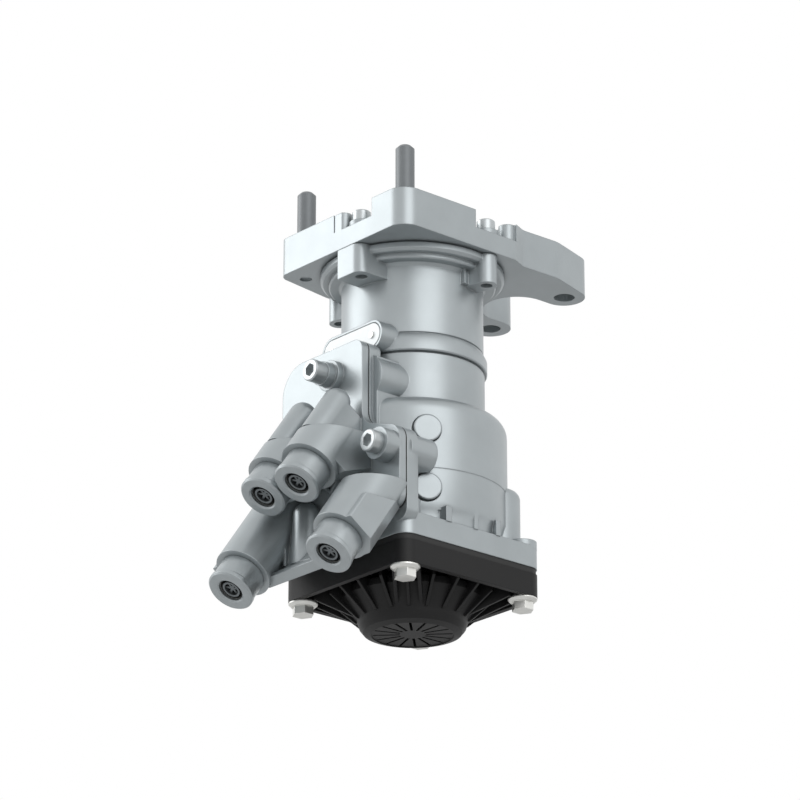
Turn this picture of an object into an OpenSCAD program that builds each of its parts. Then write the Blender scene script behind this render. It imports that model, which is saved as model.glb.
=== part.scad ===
/* [Mounting plate] */
// Thickness of the plate
plate_t = 16.8; // [15:0.2:20]
// Distance from the valve axis to the plate's flat sides
plate_side = 42; // [41:0.5:46]
// Radius of the plate's near corner
plate_corner_r = 8; // [5:0.5:10]
// Radius of the plate's far corner
plate_far_corner_r = 5; // [3:0.5:8]
// Radius of the bore that the boot sits in
boot_bore_r = 22; // [20:0.5:24]
// Distance from the valve axis to the fork's screw holes
fork_reach = 64.8; // [62:0.2:75]
// Distance between the fork's two screw holes
fork_spacing = 47.2; // [44:0.2:52]
// How far the fork's middle line lies from the valve axis
fork_offset = -1.6; // [-3:0.2:3]
// Radius of the fork's screw holes
fork_hole_r = 4.5; // [3:0.1:5.5]
// Radius of the fork's rounded ends
fork_end_r = 8.9; // [8:0.1:10]
// Distance from the valve axis to the centre of the fork's rounded gap
fork_gap_x = 58.4; // [58:0.2:62]
// Depth of the notches in the plate's top
notch_depth = 8; // [6:0.5:9]
// Width of the notches
notch_w = 22.4; // [20:0.2:24]
// Radius of the round pegs in the notches
peg_r = 3.7; // [2.5:0.1:4.2]
// Height of the screws' seats above the notches' floor
notch_seat_h = 2.4; // [1:0.2:3]

/* [Studs and plate screws] */
// Radius of the mounting studs
stud_r = 4; // [3:0.5:5]
// Distance from the valve axis to the studs, along X and along Y
stud_offset = 32; // [31:0.5:33]
// Height of the studs above the plate
stud_h = 23; // [15:0.5:40]
// Depth of the studs in the plate
stud_depth = 13; // [8:0.5:14]
// Distance from the valve axis to the plate screws
ear_pcd_r = 37.5; // [36.5:0.25:38]
// Direction of the first plate screw, in degrees
ear_angle = -165.6; // [-170:0.2:-160]
// Radius of a plate screw's thread
plate_screw_r = 2.5; // [2:0.25:3]
// Radius of a plate screw's head
plate_screw_head_r = 3.9; // [3.5:0.05:4.5]
// Height of a plate screw's head
plate_screw_head_h = 5; // [3:0.5:6]

/* [Housing] */
// Radius of the collar under the plate
collar_r = 39; // [38.5:0.25:41]
// Height of the collar
collar_h = 4; // [3:0.25:6]
// Radius of the upper body
upper_r = 30; // [29:0.25:31]
// Radius of the raised band
band_r = 31.5; // [31:0.1:32]
// Height of the band's upper edge below the mounting face
band_top = 54.4; // [50:0.2:56]
// Height of the band
band_h = 8.2; // [6:0.2:10]
// Where the shoulder starts, below the mounting face
shoulder_top = 84.5; // [82:0.5:87]
// Radius of the lower body
lower_r = 39.5; // [38.5:0.25:41]
// Radius of the shoulder's rounding
shoulder_r = 7; // [4:0.2:9]
// Half the width of the square flange
flange_half = 38.15; // [38:0.05:41]
// Radius of the flange's corners
flange_corner_r = 6.3; // [4:0.1:8]
// Top of the square flange, below the mounting face
flange_top = 140; // [138:0.5:142]
// Bottom of the square flange, below the mounting face
flange_bottom = 149.5; // [147:0.5:154]
// Length of the ears below the plate
ear_h = 13; // [10:0.5:16]
// Radius of the round ears
ear_r = 5.2; // [4.5:0.1:6]
// Half the width of the square ear
ear_half_w = 7.25; // [6:0.05:9]

/* [Bores] */
// Radius of the primary piston's bore
primary_bore_r = 24.5; // [22:0.25:25]
// Radius of the bore that holds the valve guide
valve_bore_r = 18; // [17:0.25:19]
// Radius of the relay piston's bore
relay_bore_r = 31; // [30:0.25:32]
// Top of the deck with the primary valve seat, below the mounting face
deck_top = 74; // [73:0.25:75]
// Thickness of that deck
deck_t = 5; // [4:0.25:6]
// Radius of the valve seat's hole
seat_r = 8; // [7.5:0.1:8.5]
// Running clearance of the pistons
run_gap = 0.3; // [0.2:0.05:0.5]
// Clearance of pieces that sit in a seat
fit_gap = 0.1; // [0.05:0.01:0.2]

/* [Manifold] */
// Distance from the valve axis to the housing's manifold pad
pad_x = 38; // [38:0.1:40]
// Thickness of the pad's flange
pad_t = 6; // [4:0.5:8]
// Thickness of the manifold's gasket
manifold_gasket_t = 0.6; // [0.5:0.05:1]
// Thickness of the manifold's plate
manifold_t = 3.4; // [3:0.1:6]
// Top edge of the manifold below the mounting face
manifold_top = 60.5; // [60:0.1:63]
// Distance from the valve axis to the port faces
port_x = 71.7; // [70:0.1:74]
// Steepness of the ports below the horizontal, in degrees
port_tilt = 55; // [52:0.5:58]
// Height of the upper two port faces below the mounting face
upper_port_z = 130.6; // [126:0.2:134]
// Height of the lower two port faces below the mounting face
lower_port_z = 165.5; // [160:0.2:167]
// Distance between the upper two ports
upper_port_spacing = 21.4; // [21.2:0.2:24]
// Distance between the lower two ports
lower_port_spacing = 61.5; // [58:0.5:62]
// Radius of a port's barrel
barrel_r = 12.1; // [11.9:0.1:12.6]
// Height of the top screw below the mounting face
top_screw_z = 73.1; // [71:0.1:75]
// Distance of the top screw from the valve's middle plane
top_screw_y = 1.4; // [0:0.1:3]
// Height of the lower screws below the mounting face
low_screw_z = 113.3; // [110:0.1:115]
// Distance of the lower screws from the valve's middle plane
low_screw_y = 33.3; // [32:0.1:34]
// Radius of the manifold screws
manifold_screw_r = 3; // [2.5:0.25:3.25]

/* [Port connectors] */
// Outer radius of a connector nut
nut_r = 10; // [9.5:0.05:10.4]
// How far a nut stands out of its barrel
nut_h = 11.5; // [11:0.5:13]
// Radius of the tube that goes in a port
tube_r = 5; // [4:0.5:6]
// Wall of that tube
tube_wall = 1; // [0.75:0.25:1.5]

/* [Exhaust cover] */
// Thickness of the cover's gasket
cover_gasket_t = 2.4; // [1.5:0.1:3]
// Bottom face of the cover's square rim, below the mounting face
cover_rim_z = 161.8; // [160:0.1:164]
// Bottom of the cover's cap, below the mounting face
cap_z = 176.5; // [174:0.5:180]
// Radius of the cap
cap_r = 22; // [21:0.1:24]
// Radius of the cone's wide end
cone_r = 35; // [33:0.5:36]
// Number of ribs around the cone
rib_count = 20; // [12:2:28]
// Number of slots in the grille
slot_count = 16; // [8:2:20]
// Distance from the valve axis to the bolts, along X and along Y
bolt_offset = 32; // [31:0.25:32.5]
// Radius of the cover bolts
bolt_r = 3; // [2.5:0.25:3.5]

/* [Motion] */
// Stroke of the pistons
piston_stroke = 2.5; // [1.5:0.25:3]
// Lift of the valves
valve_lift = 1; // [0.5:0.25:1.5]
// Radius of the plunger's head
plunger_r = 9; // [8.75:0.25:10]
// Radius of the plunger's shank
shank_r = 8.5; // [7.5:0.25:8.5]
// Height of the plunger above the mounting face
plunger_h = 14; // [10:0.5:18]

/* [Hidden] */
$fn = 72;

cast_colour = [0.72, 0.75, 0.76];
steel_colour = [0.48, 0.51, 0.52];
zinc_colour = [0.78, 0.77, 0.74];
black_colour = [0.06, 0.06, 0.065];
rubber_colour = [0.03, 0.03, 0.03];
brass_colour = [0.75, 0.6, 0.3];

// Heights of the inner pieces, measured down from the mounting face as negative numbers
guide_top = -plate_t;
guide_bottom = guide_top - collar_h - 0.2;
guide_sleeve_end = guide_bottom - 12;
plunger_flange_top = guide_sleeve_end - run_gap;
plunger_flange_bottom = plunger_flange_top - 3.7;
piston_bottom = -deck_top + 8;
piston_top = piston_bottom + 8;
piston_seat = piston_top - 4;
stem_bottom = -(deck_top + deck_t) - 0.3 + piston_stroke - valve_lift + run_gap;
valve_top = -(deck_top + deck_t) - 0.3;
valve_disc_t = 3.2;
valve_disc_r = seat_r + 3;
valve_tube_r = 6.3;
valve_guide_top = -94;
valve_guide_t = 5;
circlip_t = 1.2;
relay_top = -103;
relay_h = 10;
insert_top = -126;
insert_deck_t = 5;
insert_seat_r = 9.5;
insert_bottom = -flange_bottom;
valve_2_top = insert_top - insert_deck_t - 0.3;
guide_2_top = -141;
relay_stem_bottom = valve_2_top + piston_stroke - valve_lift + run_gap;
o_ring_r = 1.3;
plunger_flange_r = 17;
relay_crown_t = 4;

// Springs: mean radii, and the play at their ends
graduating_spring_r = 11.5;
primary_spring_r = 18;
relay_spring_r = 20;
valve_spring_r = 8.6;
spring_play = 0.05;
PISTON_RINGS = [piston_bottom + 2.1, piston_bottom + 5.5];
INSERT_RINGS = [insert_top - 3.5, insert_bottom + 6];

// Planes of the manifold
manifold_back_x = -pad_x - manifold_gasket_t;
manifold_face_x = manifold_back_x - manifold_t;
PORTS = [
  [upper_port_spacing / 2, -upper_port_z],
  [-upper_port_spacing / 2, -upper_port_z],
  [lower_port_spacing / 2, -lower_port_z],
  [-lower_port_spacing / 2, -lower_port_z]];
EAR_ANGLES = [for (i = [0:3]) ear_angle + 90 * i];

// Points of an arc that rounds the corner b between a and c
function unit(v) = v / norm(v);
function corner_arc(a, b, c, r) =
  r == 0 ? [[b[0], b[1]]] :
  let (u = unit([a[0] - b[0], a[1] - b[1]]),
       w = unit([c[0] - b[0], c[1] - b[1]]),
       half = acos(max(-1, min(1, u * w))) / 2,
       centre = [b[0], b[1]] + unit(u + w) * r / sin(half),
       p = [b[0], b[1]] + u * r / tan(half) - centre,
       q = [b[0], b[1]] + w * r / tan(half) - centre,
       start = atan2(p[1], p[0]),
       raw = atan2(q[1], q[0]) - start,
       turn = raw > 180 ? raw - 360 : raw < -180 ? raw + 360 : raw,
       steps = max(2, ceil(abs(turn) / 9)))
  [for (i = [0:steps]) centre + r * [cos(start + turn * i / steps), sin(start + turn * i / steps)]];

// Outline whose corners [x, y, radius] are rounded
function rounded(points) = [
  for (i = [0:len(points) - 1])
    each corner_arc(points[(i + len(points) - 1) % len(points)], points[i],
                    points[(i + 1) % len(points)], points[i][2])];

// Extrusion of an outline in the YZ plane from x0 to x1
module along_x(x0, x1) {
  translate([x0, 0, 0]) rotate([90, 0, 90]) linear_extrude(x1 - x0) children();
}

// Square with round corners
module rounded_square(half, r) {
  square([2 * half - 2 * r, 2 * half], center = true);
  square([2 * half, 2 * half - 2 * r], center = true);
  for (x = [-1, 1], y = [-1, 1]) translate([x * (half - r), y * (half - r)]) circle(r);
}

// Ring between two radii
module ring(z0, z1, r_out, r_in) {
  translate([0, 0, z0]) difference() {
    cylinder(h = z1 - z0, r = r_out);
    translate([0, 0, -1]) cylinder(h = z1 - z0 + 2, r = r_in);
  }
}

// O-ring lying flat
module o_ring(z, mean_r, wire_r) {
  translate([0, 0, z]) rotate_extrude() translate([mean_r, 0]) circle(wire_r, $fn = 24);
}

// Coil spring swept as one closed mesh, with flat turns at both ends
module coil_spring(z0, z1, mean_r, wire_r, turns) {
  sides = 6;
  per_turn = 14;
  rings = ceil((turns + 1.5) * per_turn);
  rise = z1 - z0 - 2 * wire_r;
  points = [for (i = [0:rings], j = [0:sides - 1])
    let (t = i / per_turn, a = 360 * t,
         s = max(0, min(1, (t - 0.75) / turns)),
         z = z0 + wire_r + rise * s,
         b = 360 * j / sides, r = mean_r + wire_r * cos(b))
    [r * cos(a), r * sin(a), z + wire_r * sin(b)]];
  side_faces = [for (i = [0:rings - 1], j = [0:sides - 1])
    [i * sides + j, i * sides + (j + 1) % sides,
     (i + 1) * sides + (j + 1) % sides, (i + 1) * sides + j]];
  start_cap = [[for (j = [sides - 1:-1:0]) j]];
  end_cap = [[for (j = [0:sides - 1]) rings * sides + j]];
  polyhedron(points, concat(side_faces, start_cap, end_cap), convexity = 10);
}

// Places children on each plate screw's axis, with X pointing outwards
module at_ears() {
  for (a = EAR_ANGLES) rotate([0, 0, a]) translate([ear_pcd_r, 0, 0]) children();
}

// Places children at a port's face, with Z pointing back into the manifold
module at_port(i) {
  translate([-port_x, PORTS[i][0], PORTS[i][1]]) rotate([0, 90 - port_tilt, 0]) children();
}

module at_studs() {
  for (y = [-1, 1]) translate([-stud_offset, y * stud_offset, 0]) children();
}

module at_fork_holes() {
  for (s = [-1, 1]) translate([fork_reach, fork_offset + s * fork_spacing / 2, 0]) children();
}

module at_bolts() {
  for (x = [-1, 1], y = [-1, 1]) translate([x * bolt_offset, y * bolt_offset, 0]) children();
}

module at_manifold_screws() {
  translate([0, top_screw_y, -top_screw_z]) rotate([0, -90, 0]) children();
  for (s = [-1, 1]) translate([0, s * low_screw_y, -low_screw_z]) rotate([0, -90, 0]) children();
}

// Outline of the mounting plate, without its bores
module plate_outline() {
  arm = fork_spacing / 2 + fork_end_r + 4.6;
  near = fork_offset - arm;
  far = fork_offset + arm;
  tip = fork_spacing / 2 + fork_end_r * cos(16);
  difference() {
    union() {
      polygon(rounded([
        [-plate_side, -plate_side, plate_corner_r],
        [plate_side / 2, -plate_side, 3],
        [plate_side / 2 + 7.5, near - 0.2, 6],
        [fork_gap_x - 10.4, near - 0.6, 12],
        [fork_reach + fork_end_r * sin(16), fork_offset - tip, 0],
        [fork_reach, fork_offset - fork_spacing / 2, 0],
        [fork_reach, fork_offset + fork_spacing / 2, 0],
        [fork_reach + fork_end_r * sin(16), fork_offset + tip, 0],
        [fork_gap_x - 10.4, far + 0.6, 12],
        [plate_side / 2 + 7.5, far + 0.2, 6],
        [plate_side / 2, plate_side, 3],
        [-plate_side * 0.3, plate_side, 10],
        [-plate_side, plate_side - 4.4, plate_far_corner_r]]));
      for (s = [-1, 1]) translate([fork_reach, fork_offset + s * fork_spacing / 2]) circle(fork_end_r);
    }
    translate([fork_gap_x, fork_offset]) circle(fork_spacing / 2 - fork_end_r);
    translate([fork_gap_x, fork_offset - fork_spacing / 2 + fork_end_r])
      square([2 * fork_end_r + fork_reach - fork_gap_x, fork_spacing - 2 * fork_end_r]);
  }
}

// Radius of the studs' screwed-in end
stud_core_r = stud_r - 0.6;

// What the two kinds of notch add to their width, and where their peg stands from the screw
NOTCH_EXTRA = [1, 0.6];
PEG_PLACES = [[0.5, -8.8], [3.5, 11]];

// The mounting plate with its fork, notches and pegs
module mounting_plate() {
  notch_floor = -notch_depth;
  inner = ear_pcd_r - 8;
  color(cast_colour) difference() {
    union() {
      difference() {
        translate([0, 0, -plate_t]) linear_extrude(plate_t) plate_outline();
        for (i = [0:3]) rotate([0, 0, EAR_ANGLES[i]])
          translate([inner, -notch_w / 2 - NOTCH_EXTRA[i % 2], notch_floor])
            cube([20, notch_w + NOTCH_EXTRA[i % 2], notch_depth + 1]);
      }
      intersection() {
        translate([0, 0, -plate_t]) linear_extrude(plate_t - 0.3) plate_outline();
        for (i = [0:3]) rotate([0, 0, EAR_ANGLES[i]])
          translate([ear_pcd_r, 0, -plate_t]) translate(PEG_PLACES[i % 2]) cylinder(h = plate_t, r = peg_r);
      }
      translate([0, 0, notch_floor - 1]) at_ears() cylinder(h = notch_seat_h + 1, r = 5.2);
    }
    translate([0, 0, -plate_t - 1]) cylinder(h = plate_t + 2, r = boot_bore_r);
    translate([0, 0, -plate_t - 1]) at_ears() cylinder(h = plate_t + 2, r = plate_screw_r + fit_gap);
    translate([0, 0, -plate_t - 1]) at_fork_holes() cylinder(h = plate_t + 2, r = fork_hole_r);
    translate([0, 0, -stud_depth - 0.5]) at_studs() cylinder(h = stud_depth + 2, r = stud_core_r + fit_gap / 2);
    translate([0, 0, -1]) at_studs() cylinder(h = 1.1, r1 = stud_core_r - 0.2, r2 = stud_r + 0.35);
    translate([-stud_offset, stud_offset, -plate_t - 1]) cylinder(h = 2, r = stud_r * 0.65);
  }
}

// The two studs: a thinner screwed-in end below the plate's top, a chamfered end above
module mounting_studs() {
  chamfer = 1.4;
  color(steel_colour) at_studs() {
    translate([0, 0, -stud_depth]) cylinder(h = stud_depth + 1, r = stud_core_r);
    cylinder(h = stud_h - chamfer, r = stud_r);
    translate([0, 0, stud_h - chamfer]) cylinder(h = chamfer, r1 = stud_r, r2 = stud_r - chamfer);
  }
}

// Cap screw along Z, with its seat at z = 0 and its head above
module cap_screw(r, length, head_r, head_h, socket_r) {
  difference() {
    union() {
      translate([0, 0, -length]) cylinder(h = length, r = r);
      cylinder(h = head_h - 0.5, r = head_r);
      translate([0, 0, head_h - 0.5]) cylinder(h = 0.5, r1 = head_r, r2 = head_r - 0.5);
    }
    translate([0, 0, head_h * 0.45]) cylinder(h = head_h, r = socket_r, $fn = 6);
  }
}

// The four screws that hold the plate on the housing
module plate_screws() {
  seat = -notch_depth + notch_seat_h;
  reach = plate_t + seat + ear_h - 3;
  color(steel_colour) translate([0, 0, seat]) at_ears()
    cap_screw(plate_screw_r, reach, plate_screw_head_r, plate_screw_head_h, 2);
}

// Outline shared by the housing's pad, the gasket and the manifold plate, in Y and Z
pad_near_y = 16.6;
pad_far_y = 34.5;
module pad_outline(bottom) {
  polygon(rounded([
    [-pad_near_y, -manifold_top, 5],
    [-pad_near_y, -low_screw_z + 15, 8],
    [-low_screw_y - 6.7, -low_screw_z + 7.5, 7],
    [-low_screw_y - 6.7, -bottom, 5],
    [low_screw_y + 6.7, -bottom, 5],
    [low_screw_y + 6.7, -low_screw_z + 7.5, 7],
    [low_screw_y - 2, -low_screw_z + 20, 10],
    [pad_far_y, -manifold_top - 22, 8],
    [pad_far_y, -manifold_top, 13]]));
}

// Radius and height of the step under the collar
step_r = 35.4;
step_h = 2.2;

// Radii and heights of the housing's turned outside, from the collar down to the flange
module housing_profile() {
  z0 = -plate_t;
  band_z = -band_top;
  polygon(concat(
    [[0, z0], [collar_r - 0.6, z0], [collar_r, z0 - 0.6], [collar_r, z0 - collar_h + 1.2],
     [collar_r - 1.2, z0 - collar_h], [step_r, z0 - collar_h], [step_r, z0 - collar_h - step_h + 0.6],
     [step_r - 0.6, z0 - collar_h - step_h], [upper_r + 1.2, z0 - collar_h - step_h],
     [upper_r, z0 - collar_h - step_h - 1.2],
     [upper_r, band_z + 0.5], [upper_r - 0.5, band_z + 0.2], [upper_r - 0.5, band_z - 0.2],
     [upper_r + 0.3, band_z - 0.5], [band_r, band_z - 3], [band_r, band_z - band_h + 0.5],
     [band_r - 0.4, band_z - band_h], [upper_r - 0.3, band_z - band_h - 0.1],
     [upper_r + 0.4, band_z - band_h - 0.8],
     [upper_r + 0.4, -shoulder_top + 0.4], [upper_r, -shoulder_top]],
    [for (a = [90:-10:0]) [lower_r - shoulder_r + shoulder_r * cos(a),
                           -shoulder_top - shoulder_r + shoulder_r * sin(a)]],
    [[lower_r, -117], [lower_r - 0.25, -117.2], [lower_r - 0.25, -flange_top + 8],
     [flange_half - 0.25, -flange_top + 3], [flange_half - 0.25, -flange_top - 0.5],
     [0, -flange_top - 0.5]]));
}

// The ears that the plate screws go into: one square, three round
module ears() {
  z1 = -plate_t - 0.15;
  for (i = [0:3]) rotate([0, 0, EAR_ANGLES[i]]) {
    if (i > 0) {
      translate([ear_pcd_r, 0, z1 - ear_h]) cylinder(h = ear_h, r = ear_r - 0.6);
      translate([upper_r - 3, -ear_r + 0.8, z1 - ear_h]) cube([ear_pcd_r - upper_r + 3, 2 * ear_r - 1.6, ear_h]);
      translate([upper_r - 3, -ear_r - 1.7, z1 - ear_h + 0.4]) cube([4.4, 2.7, ear_h - 0.4]);
    }
  }
  square_ear_y = ear_pcd_r * sin(ear_angle) + 2.13;
  translate([0, 0, z1 - ear_h]) linear_extrude(ear_h) polygon(rounded([
    [-plate_side, square_ear_y - ear_half_w, 4.5],
    [-plate_side, square_ear_y + ear_half_w, 1],
    [-upper_r + 4, square_ear_y + ear_half_w, 0],
    [-upper_r + 6, square_ear_y - ear_half_w, 0]]));
}

// Lug for the data plate: a stadium standing out of the upper body
lug_x = 33;
lug_y0 = -12.1;
lug_y1 = 13.1;
lug_z = -56;
lug_r = 6.5;
lug_recess = 1.2;
module lug_shape(r) {
  translate([lug_y0, lug_z]) circle(r);
  translate([lug_y1, lug_z]) circle(r);
  translate([lug_y0, lug_z - r]) square([lug_y1 - lug_y0, 2 * r]);
}

bolt_boss_r = 6.15;

// Where the drillings from the manifold enter the housing, in Y and Z
DRILLINGS = [[upper_port_spacing / 2, -88], [-upper_port_spacing / 2, -70.5], [17, -135.5], [-17, -121]];
drilling_r = 3;

// Drillings that lead from the manifold to the chambers
module drillings(x0, x1) {
  for (d = DRILLINGS) along_x(x0, x1) translate(d) circle(drilling_r, $fn = 36);
}

// The cast housing
module valve_housing() {
  color(cast_colour) difference() {
    union() {
      rotate_extrude($fn = 120) housing_profile();
      translate([0, 0, -flange_bottom]) linear_extrude(flange_bottom - flange_top)
        rounded_square(flange_half, flange_corner_r);
      translate([0, 0, -flange_top - 1]) at_bolts() cylinder(h = 3.5, r = bolt_boss_r);
      translate([-bolt_offset, -bolt_offset, -flange_top - 1]) cylinder(h = 7, r = bolt_boss_r);
      for (x = [[-15.6, -12.6], [-0.3, 1.8], [11.8, 14.2]])
        translate([x[0], -flange_half - 0.45, -flange_top - 0.3]) cube([x[1] - x[0], 10, 6.5]);
      ears();
      along_x(-pad_x, -pad_x + pad_t) pad_outline(flange_bottom - 5);
      along_x(-pad_x + 2, -18) translate([-12, -76]) circle(10);
      along_x(-pad_x + 2, -18) translate([16, -76]) circle(12);
      along_x(-pad_x + 2, -10) translate([-19, -111.6]) circle(12.9);
      along_x(-pad_x + 2, -10) translate([19, -111.6]) circle(12.9);
      along_x(-pad_x + 2, -12) translate([-19, -flange_top - 1]) square([38, flange_top - 67]);
      for (s = [-1, 1]) along_x(-pad_x + 2, -22) translate([s * low_screw_y, -low_screw_z]) circle(7.4);
      along_x(-lug_x, -20) lug_shape(lug_r);
      translate([26.6, -22.6, -flange_top - 1]) rotate_extrude() polygon(concat(
        [[0, 0], [9.8, 0]],
        [for (a = [0:10:80]) [5.8 + 4 * cos(a), flange_top - 117 + 4 * sin(a)]],
        [[5.8, flange_top - 113], [0, flange_top - 113]]));
    }
    // Flat face for the manifold
    translate([-pad_x - 20, -60, -flange_top]) cube([20, 120, flange_top - manifold_top + 0.5]);
    // Pocket at the foot of the lower body
    translate([-18.6, -lower_r - 3, -flange_top]) cube([3, 8, 5]);
    // Recess for the data plate
    along_x(-lug_x - 1, -lug_x + lug_recess) lug_shape(lug_r - 1.1);
    for (y = [lug_y0, lug_y1]) along_x(-lug_x - 1, -lug_x + 5) translate([y, lug_z]) circle(0.9, $fn = 24);
    // Bores, from the top down
    translate([0, 0, guide_bottom]) cylinder(h = 20, r = upper_r - 3);
    translate([0, 0, -deck_top]) cylinder(h = 80, r = primary_bore_r);
    translate([0, 0, -deck_top - deck_t - 2]) cylinder(h = deck_t + 4, r = seat_r);
    translate([0, 0, relay_top + 1.5]) cylinder(h = -deck_top - deck_t - relay_top - 1.5, r = valve_bore_r);
    translate([0, 0, valve_guide_top - valve_guide_t - circlip_t - fit_gap])
      cylinder(h = circlip_t + 2 * fit_gap, r = valve_bore_r + 1.2);
    translate([0, 0, -flange_bottom - 1]) cylinder(h = flange_bottom + 2.5 + relay_top, r = relay_bore_r);
    // Core plugs
    for (z = PLUG_HEIGHTS) translate([0, 0, z]) rotate([0, 90, PLUG_ANGLE]) {
      translate([0, 0, lower_r - 4]) cylinder(h = 6, r = plug_r + fit_gap / 2);
      translate([0.35, -0.35, lower_r - 1.6]) cylinder(h = 4, r = plug_r + 0.35);
    }
    drillings(-pad_x - 1, -16);
    // Threaded holes
    translate([0, 0, -plate_t - ear_h - 1]) at_ears() cylinder(h = ear_h + 2, r = plate_screw_r + fit_gap / 2);
    translate([0, 0, -flange_bottom - 1]) at_bolts() cylinder(h = flange_bottom - flange_top + 0.5, r = bolt_r + fit_gap / 2);
    at_manifold_screws() translate([0, 0, pad_x - 11]) cylinder(h = 12, r = manifold_screw_r + fit_gap / 2);
  }
}

PLUG_ANGLE = -122.2;
PLUG_HEIGHTS = [-100.2, -125.5];
plug_r = 5.8;

// Two pressed-in plugs that close the casting's core holes
module core_plugs() {
  color(cast_colour) for (z = PLUG_HEIGHTS) translate([0, 0, z]) rotate([0, 90, PLUG_ANGLE])
    translate([0, 0, lower_r - 4]) {
      cylinder(h = 4.4, r = plug_r);
      translate([0, 0, 4.4]) cylinder(h = 0.4, r1 = plug_r, r2 = plug_r - 0.4);
    }
}

// Blank data plate in the lug's recess
module data_plate() {
  color(cast_colour) difference() {
    along_x(-lug_x - 0.1, -lug_x + lug_recess) lug_shape(lug_r - 1.4);
    for (y = [lug_y0, lug_y1]) along_x(-lug_x - 1, -lug_x + 5) translate([y, lug_z]) circle(0.9, $fn = 24);
  }
}

module data_plate_pins() {
  color(steel_colour) for (y = [lug_y0, lug_y1]) {
    along_x(-lug_x - 0.1, -lug_x + 4.8) translate([y, lug_z]) circle(0.85, $fn = 24);
    along_x(-lug_x - 0.7, -lug_x - 0.1) translate([y, lug_z]) circle(1.5, $fn = 24);
  }
}

module manifold_gasket() {
  color(rubber_colour) difference() {
    along_x(-pad_x - manifold_gasket_t, -pad_x) pad_outline(flange_top - 0.6);
    drillings(-pad_x - 3, -pad_x + 1);
    at_manifold_screws() cylinder(h = 60, r = manifold_screw_r + 0.4);
  }
}

// Outline of the flat pad on the outer side of a lower barrel
module lower_barrel_pad(side) {
  polygon(rounded([
    [-6.9, side * 3, 0],
    [-6.9, side * side_flat, 0.6],
    [5.9, side * side_flat, 0.6],
    [11.6, side * 7, 1],
    [web_out, side * 6.3, 0],
    [web_out, -side * 1.5, 0],
    [0, -side * 1.5, 0]]));
}

// How far the lower barrels' web, and the flat on their outer side, stand out of the ports' axes
web_out = 11.7;
web_in = 9.4;
lip_in = 6.9;
side_flat = 12.7;
// How far back from the port faces the web starts
web_foot = 13.3;
// Heights of the barrels' upper ends, and of the flat's, below the mounting face
barrel_top = 105;
LOWER_BARREL_TOPS = [118, 130];
side_flat_top = 140.5;

// The four barrels, cut off level, and the narrower tails of the upper two
module barrels() {
  tail_r = 5.9;
  tail_shift = -6.2;
  tail_end = 45.2;
  intersection() {
    for (i = [0:1]) at_port(i) {
      translate([0, 0, nut_h]) cylinder(h = 32, r = barrel_r);
      rotate([90, 0, 0]) translate([0, 0, -barrel_r + 0.3]) linear_extrude(2 * barrel_r - 0.6) polygon([
        [-1, web_foot + 1], [9.4, web_foot + 1], [18.4, 26.5], [30, 26.5], [30, 60], [-1, 30]]);
    }
    translate([-120, -60, -190]) cube([120, 120, 190 - barrel_top]);
  }
  for (i = [0:1]) at_port(i) {
    translate([tail_shift, 0, 24]) rotate_extrude() polygon(concat(
      [[0, 0], [tail_r, 0]],
      [for (a = [0:10:90]) [tail_r * cos(a), tail_end - 24 + tail_r * sin(a)]]));
    translate([tail_shift, -tail_r + 0.4, 26]) cube([25, 2 * tail_r - 0.8, tail_end - 26]);
  }
  for (i = [0:1]) intersection() {
    at_port(i + 2) translate([0, 0, nut_h]) cylinder(h = 60, r = barrel_r);
    translate([-120, -60, -190]) cube([120, 120, 190 - LOWER_BARREL_TOPS[i]]);
  }
  for (i = [2:3]) intersection() {
    at_port(i) translate([0, 0, nut_h]) linear_extrude(40) lower_barrel_pad(i == 2 ? 1 : -1);
    translate([-120, -60, -190]) cube([120, 120, 190 - side_flat_top]);
  }
}

// Web between the lower barrels, with a lip at its foot
module lower_web() {
  half = lower_port_spacing / 2;
  translate([-port_x, 0, -lower_port_z]) rotate([0, 90 - port_tilt, 0]) {
    translate([web_in, -half - 3, web_foot]) cube([web_out - web_in, 2 * half - 1.6, 60]);
    translate([lip_in, -half, web_foot]) cube([web_out - lip_in - 0.2, 2 * half, 2.4]);
  }
}

// Cast column and thin rib that stand on the web, and the framed pocket above them
module web_column() {
  foot_z = -153;
  column_r = 7.4;
  top_r = 5.8;
  straight = 22;
  column_place = [manifold_face_x - 2.5, 15.2];
  rib_reach = 10.2;
  rib_t = 1.6;
  rib_y = 19.4;
  rib_h = 14.5;
  intersection() {
    union() {
      translate([column_place[0], column_place[1], foot_z]) rotate_extrude() polygon(concat(
        [[0, 0], [column_r, 0]],
        [for (a = [0:15:90]) [top_r * cos(a), straight + top_r * sin(a)]]));
      translate([manifold_face_x - rib_reach, rib_y, foot_z]) cube([rib_reach - 1, rib_t, rib_h]);
    }
    translate([-port_x, 0, -lower_port_z]) rotate([0, 90 - port_tilt, 0])
      translate([web_out - 60.4, -50, 0]) cube([60, 100, 80]);
  }
}

module pocket_frame() {
  outer = 6.3;
  inner = 4;
  height = 1.6;
  place = [1.8, -120.4];
  translate([manifold_face_x - height, place[0], place[1]]) rotate([38, 0, 0]) difference() {
    translate([0, -outer / 2, -outer / 2]) cube([height + 0.5, outer, outer]);
    translate([-1, -inner / 2, -inner / 2]) cube([height + 0.8, inner, inner]);
  }
}

// Heights and radii of the bosses under the manifold screws' heads
top_boss_h = 7;
top_boss_r = 5.2;
low_boss_h = 6.5;
low_boss_r = 6.8;
screw_head_r = 4.7;

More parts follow.
